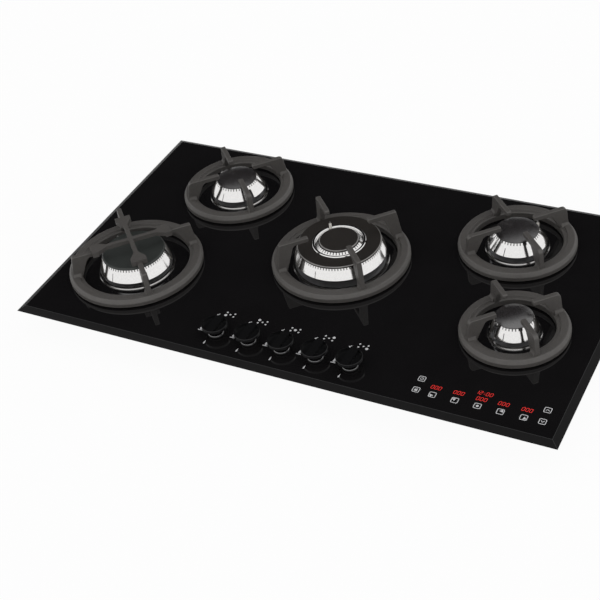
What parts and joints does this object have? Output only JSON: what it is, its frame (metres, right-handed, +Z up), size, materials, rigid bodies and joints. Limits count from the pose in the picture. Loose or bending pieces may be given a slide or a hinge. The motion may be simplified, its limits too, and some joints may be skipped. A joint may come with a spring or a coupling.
{
  "type": "gas cooktop",
  "caption": "Built-in gas cooktop: bevelled black glass over a steel tray, wok and smaller burners, cast pan supports, push-and-turn knobs and a touch panel.",
  "frame": {"origin": "under the middle of the glass, on the level of the tray's underside", "axes": "+X to the user's right, +Y to the back, +Z up"},
  "size_m": [0.9, 0.52, 0.12],
  "materials": {
    "cast_aluminium": "as cast",
    "gloss_enamel": "gloss vitreous enamel",
    "polished_crown": "bright polished",
    "cast_iron": "matt enamelled cast iron",
    "galvanised_steel": "galvanised sheet",
    "plated_steel": "zinc plated",
    "gasket": "matt",
    "polished_steel": "mirror polished",
    "dark_plastic": "moulded",
    "display_window": "smoked",
    "seal_foam": "closed cell foam",
    "brass": "turned",
    "aluminium_pipe": "drawn",
    "black_glass": "polished toughened glass, opaque black behind",
    "lead_silicone": "smooth",
    "knob_black": "satin moulded",
    "knob_ring": "bright plated",
    "bright_steel": "drawn",
    "matt_enamel": "matt vitreous enamel",
    "white_ceramic": "glazed",
    "silicone": "matt",
    "circuit_board": "solder mask",
    "valve_aluminium": "die cast"
  },
  "bodies": {
    "root": {"auxiliary_burner_base": "cast_aluminium", "base_tray": "galvanised_steel", "bracket_screws": "plated_steel", "burner_brackets": "plated_steel", "burner_gaskets": "gasket", "burner_trim_rings": "polished_steel", "cable_gland": "dark_plastic", "display_module": "display_window", "edge_seal": "seal_foam", "gas_inlet": "brass", "gas_jets": "brass", "gas_pipes": "aluminium_pipe", "gas_rail": "plated_steel", "glass_top": "black_glass", "ignition_leads": "lead_silicone", "knob_bezels": "knob_ring", "knob_return_springs": "bright_steel", "rapid_burner_base": "cast_aluminium", "semi_rapid_burner_bases": "cast_aluminium", "spark_electrode_ceramics": "white_ceramic", "spark_electrode_pins": "bright_steel", "spark_generator": "dark_plastic", "support_pads": "silicone", "thermocouples": "bright_steel", "touch_control_board": "circuit_board", "valve_bodies": "valve_aluminium", "wok_burner_base": "cast_aluminium"},
    "back_left_cap": {"back_left_burner_cap": "gloss_enamel"},
    "back_left_crown": {"back_left_burner_crown": "polished_crown"},
    "back_left_support": {"back_left_pan_support": "cast_iron"},
    "back_right_cap": {"back_right_burner_cap": "gloss_enamel"},
    "back_right_crown": {"back_right_burner_crown": "polished_crown"},
    "back_right_support": {"back_right_pan_support": "cast_iron"},
    "front_right_cap": {"front_right_burner_cap": "gloss_enamel"},
    "front_right_crown": {"front_right_burner_crown": "polished_crown"},
    "front_right_support": {"front_right_pan_support": "cast_iron"},
    "stem_1": {"knob_1": "knob_black", "valve_spindle_1": "bright_steel"},
    "stem_2": {"knob_2": "knob_black", "valve_spindle_2": "bright_steel"},
    "stem_3": {"knob_3": "knob_black", "valve_spindle_3": "bright_steel"},
    "stem_4": {"knob_4": "knob_black", "valve_spindle_4": "bright_steel"},
    "stem_5": {"knob_5": "knob_black", "valve_spindle_5": "bright_steel"},
    "left_cap": {"left_burner_cap": "matt_enamel"},
    "left_crown": {"left_burner_crown": "polished_crown"},
    "left_support": {"left_pan_support": "cast_iron"},
    "adaptor": {"small_pan_adaptor": "cast_iron"},
    "plug_1": {"valve_plug_1": "brass"},
    "plug_2": {"valve_plug_2": "brass"},
    "plug_3": {"valve_plug_3": "brass"},
    "plug_4": {"valve_plug_4": "brass"},
    "plug_5": {"valve_plug_5": "brass"},
    "wok_cap": {"wok_burner_cap": "matt_enamel"},
    "wok_crown": {"wok_burner_crown": "polished_crown"},
    "wok_inner_cap": {"wok_inner_cap": "matt_enamel"},
    "wok_inner_crown": {"wok_inner_crown": "polished_crown"},
    "wok_support": {"wok_pan_support": "cast_iron"}
  },
  "joints": [
    {"name": "wok_support_lift", "type": "slide", "parent": "root", "child": "wok_support", "axis": [0, 0, 1], "range_m": [0, 0.16]},
    {"name": "wok_cap_lift", "type": "slide", "parent": "root", "child": "wok_cap", "axis": [0, 0, 1], "range_m": [0, 0.061]},
    {"name": "wok_crown_lift", "type": "slide", "parent": "root", "child": "wok_crown", "axis": [0, 0, 1], "range_m": [0, 0.041]},
    {"name": "left_support_lift", "type": "slide", "parent": "root", "child": "left_support", "axis": [0, 0, 1], "range_m": [0, 0.16]},
    {"name": "left_cap_lift", "type": "slide", "parent": "root", "child": "left_cap", "axis": [0, 0, 1], "range_m": [0, 0.097]},
    {"name": "left_crown_lift", "type": "slide", "parent": "root", "child": "left_crown", "axis": [0, 0, 1], "range_m": [0, 0.065]},
    {"name": "back_left_support_lift", "type": "slide", "parent": "root", "child": "back_left_support", "axis": [0, 0, 1], "range_m": [0, 0.16]},
    {"name": "back_left_cap_lift", "type": "slide", "parent": "root", "child": "back_left_cap", "axis": [0, 0, 1], "range_m": [0, 0.097]},
    {"name": "back_left_crown_lift", "type": "slide", "parent": "root", "child": "back_left_crown", "axis": [0, 0, 1], "range_m": [0, 0.065]},
    {"name": "back_right_support_lift", "type": "slide", "parent": "root", "child": "back_right_support", "axis": [0, 0, 1], "range_m": [0, 0.16]},
    {"name": "back_right_cap_lift", "type": "slide", "parent": "root", "child": "back_right_cap", "axis": [0, 0, 1], "range_m": [0, 0.097]},
    {"name": "back_right_crown_lift", "type": "slide", "parent": "root", "child": "back_right_crown", "axis": [0, 0, 1], "range_m": [0, 0.065]},
    {"name": "front_right_support_lift", "type": "slide", "parent": "root", "child": "front_right_support", "axis": [0, 0, 1], "range_m": [0, 0.16]},
    {"name": "front_right_cap_lift", "type": "slide", "parent": "root", "child": "front_right_cap", "axis": [0, 0, 1], "range_m": [0, 0.097]},
    {"name": "front_right_crown_lift", "type": "slide", "parent": "root", "child": "front_right_crown", "axis": [0, 0, 1], "range_m": [0, 0.065]},
    {"name": "wok_inner_cap_lift", "type": "slide", "parent": "root", "child": "wok_inner_cap", "axis": [0, 0, 1], "range_m": [0, 0.101]},
    {"name": "wok_inner_crown_lift", "type": "slide", "parent": "root", "child": "wok_inner_crown", "axis": [0, 0, 1], "range_m": [0, 0.081]},
    {"name": "adaptor_lift", "type": "slide", "parent": "left_support", "child": "adaptor", "axis": [0, 0, 1], "range_m": [0, 0.06]},
    {"name": "knob_1_turn", "type": "hinge", "parent": "root", "child": "plug_1", "pos_m": [-0.1071, -0.206, 0.03], "axis": [0, 0, 1], "range_deg": [0, 180]},
    {"name": "knob_1_push", "type": "slide", "parent": "plug_1", "child": "stem_1", "axis": [0, 0, -1], "range_m": [0, 0.004], "stiffness_N_per_m": 800, "springref_m": -0.004, "deforming": ["knob_return_springs"]},
    {"name": "knob_2_turn", "type": "hinge", "parent": "root", "child": "plug_2", "pos_m": [-0.0503, -0.206, 0.03], "axis": [0, 0, 1], "range_deg": [0, 180]},
    {"name": "knob_2_push", "type": "slide", "parent": "plug_2", "child": "stem_2", "axis": [0, 0, -1], "range_m": [0, 0.004], "stiffness_N_per_m": 800, "springref_m": -0.004, "deforming": ["knob_return_springs"]},
    {"name": "knob_3_turn", "type": "hinge", "parent": "root", "child": "plug_3", "pos_m": [0.0065, -0.206, 0.03], "axis": [0, 0, 1], "range_deg": [0, 180]},
    {"name": "knob_3_push", "type": "slide", "parent": "plug_3", "child": "stem_3", "axis": [0, 0, -1], "range_m": [0, 0.004], "stiffness_N_per_m": 800, "springref_m": -0.004, "deforming": ["knob_return_springs"]},
    {"name": "knob_4_turn", "type": "hinge", "parent": "root", "child": "plug_4", "pos_m": [0.0633, -0.206, 0.03], "axis": [0, 0, 1], "range_deg": [0, 180]},
    {"name": "knob_4_push", "type": "slide", "parent": "plug_4", "child": "stem_4", "axis": [0, 0, -1], "range_m": [0, 0.004], "stiffness_N_per_m": 800, "springref_m": -0.004, "deforming": ["knob_return_springs"]},
    {"name": "knob_5_turn", "type": "hinge", "parent": "root", "child": "plug_5", "pos_m": [0.1201, -0.206, 0.03], "axis": [0, 0, 1], "range_deg": [0, 180]},
    {"name": "knob_5_push", "type": "slide", "parent": "plug_5", "child": "stem_5", "axis": [0, 0, -1], "range_m": [0, 0.004], "stiffness_N_per_m": 800, "springref_m": -0.004, "deforming": ["knob_return_springs"]}
  ],
  "couplings": [
    {"joint": "wok_cap_lift", "follows": "wok_support_lift", "ratio": 0.375},
    {"joint": "wok_crown_lift", "follows": "wok_support_lift", "ratio": 0.25},
    {"joint": "left_cap_lift", "follows": "left_support_lift", "ratio": 0.6},
    {"joint": "left_crown_lift", "follows": "left_support_lift", "ratio": 0.4},
    {"joint": "back_left_cap_lift", "follows": "back_left_support_lift", "ratio": 0.6},
    {"joint": "back_left_crown_lift", "follows": "back_left_support_lift", "ratio": 0.4},
    {"joint": "back_right_cap_lift", "follows": "back_right_support_lift", "ratio": 0.6},
    {"joint": "back_right_crown_lift", "follows": "back_right_support_lift", "ratio": 0.4},
    {"joint": "front_right_cap_lift", "follows": "front_right_support_lift", "ratio": 0.6},
    {"joint": "front_right_crown_lift", "follows": "front_right_support_lift", "ratio": 0.4},
    {"joint": "wok_inner_cap_lift", "follows": "wok_support_lift", "ratio": 0.625},
    {"joint": "wok_inner_crown_lift", "follows": "wok_support_lift", "ratio": 0.5}
  ]
}
